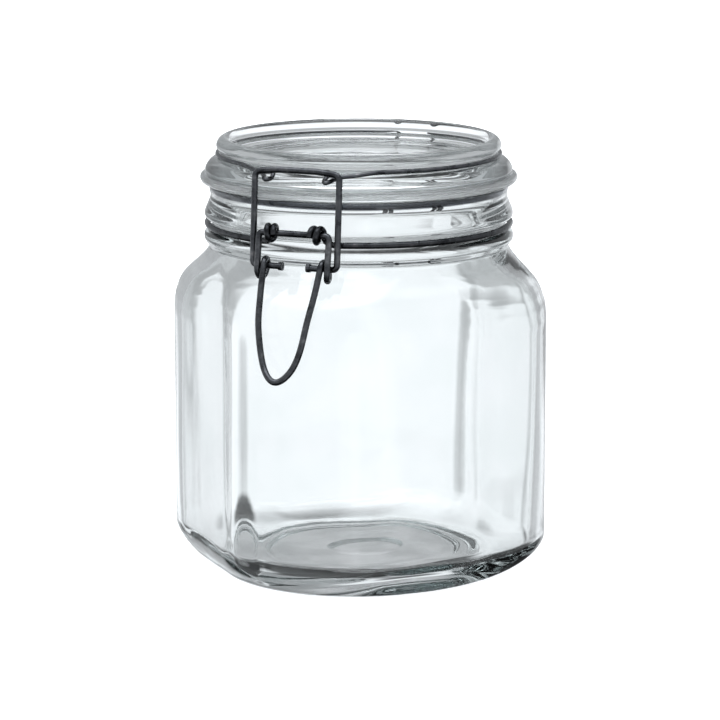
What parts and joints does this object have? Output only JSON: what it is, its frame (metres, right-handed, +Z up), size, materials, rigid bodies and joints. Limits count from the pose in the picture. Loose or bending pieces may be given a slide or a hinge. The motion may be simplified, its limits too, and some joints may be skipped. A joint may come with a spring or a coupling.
{
  "type": "bail clamp jar",
  "caption": "Glass storage jar with a rounded-square body, hinged glass lid, sealing gasket and a wire bail latch that clamps the lid shut.",
  "frame": {"origin": "centre of the round bearing area under the base, on the jar axis, at the height the jar stands on", "axes": "+Z up along the jar axis through the mouth; -Y towards the bail latch, +Y towards the lid hinge; the rounded corners of the body lie on the X and Y axes"},
  "size_m": [0.1154, 0.1212, 0.1303],
  "materials": {
    "jar_glass": "clear gloss",
    "lid_glass": "clear gloss",
    "gasket": "translucent satin",
    "steel_wire": "dark satin"
  },
  "bodies": {
    "jar": {"glass_jar": "jar_glass", "neck_band": "steel_wire"},
    "lid": {"glass_lid": "lid_glass", "gasket": "gasket", "lid_band": "steel_wire"},
    "lever": {"lever": "steel_wire"},
    "link": {"link": "steel_wire"}
  },
  "joints": [
    {"name": "lid_hinge", "type": "hinge", "parent": "jar", "child": "lid", "pos_m": [0, 0.0502, 0.112], "axis": [-1, 0, 0], "range_deg": [0, 105]},
    {"name": "lever_pivot", "type": "hinge", "parent": "jar", "child": "lever", "pos_m": [0, -0.0486, 0.1081], "axis": [-1, 0, 0], "range_deg": [0, 150]},
    {"name": "link_pivot", "type": "hinge", "parent": "lever", "child": "link", "pos_m": [0, -0.0482, 0.0985], "axis": [1, 0, 0], "range_deg": [0, 150]}
  ],
  "couplings": [
    {"joint": "link_pivot", "follows": "lever_pivot", "ratio": 1}
  ]
}
